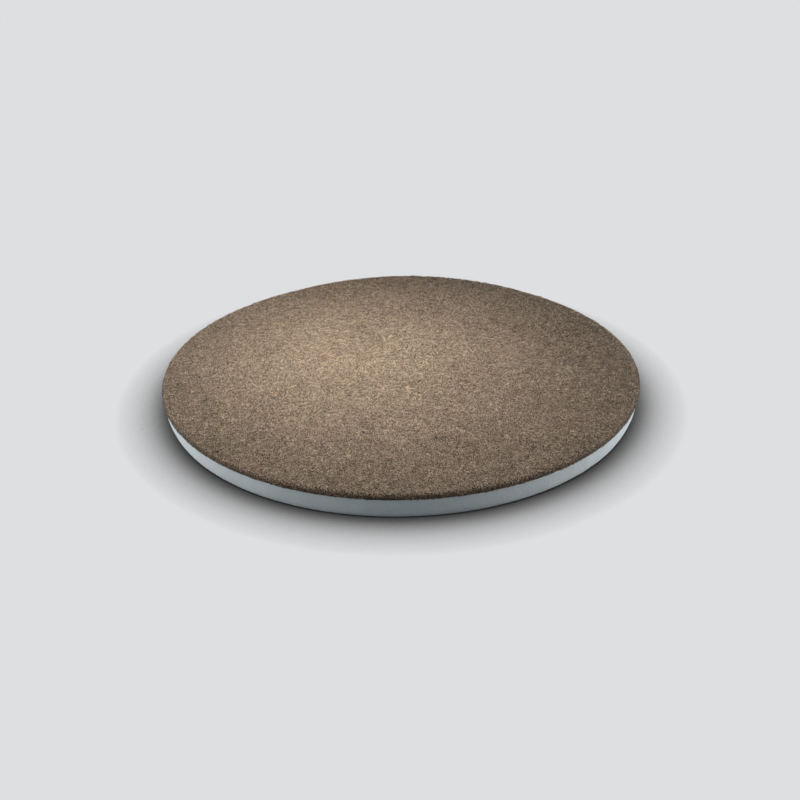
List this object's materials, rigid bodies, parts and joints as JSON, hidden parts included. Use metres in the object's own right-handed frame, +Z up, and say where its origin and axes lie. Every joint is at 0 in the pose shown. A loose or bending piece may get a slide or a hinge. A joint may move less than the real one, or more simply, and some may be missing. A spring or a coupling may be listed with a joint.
{
  "type": "floor polishing pad",
  "caption": "Round floor pad: a thin web of brown abrasive fibre bonded to a thicker disc of white foam, gripped flat by a floor machine.",
  "frame": {"origin": "centre of the foam's flat underside, on the surface that the pad lies on", "axes": "+Z up through the pad's centre, from the foam to the fibre face; X and Y are any two directions across the disc"},
  "size_m": [0.508, 0.508, 0.028],
  "materials": {
    "fibre": "matted coarse brown fibre, bonded with resin, matt with a faint sheen",
    "foam": "fine open-cell white foam, matt"
  },
  "bodies": {
    "root": {"abrasive_fibre_web": "fibre", "foam_disc": "foam"}
  },
  "joints": []
}
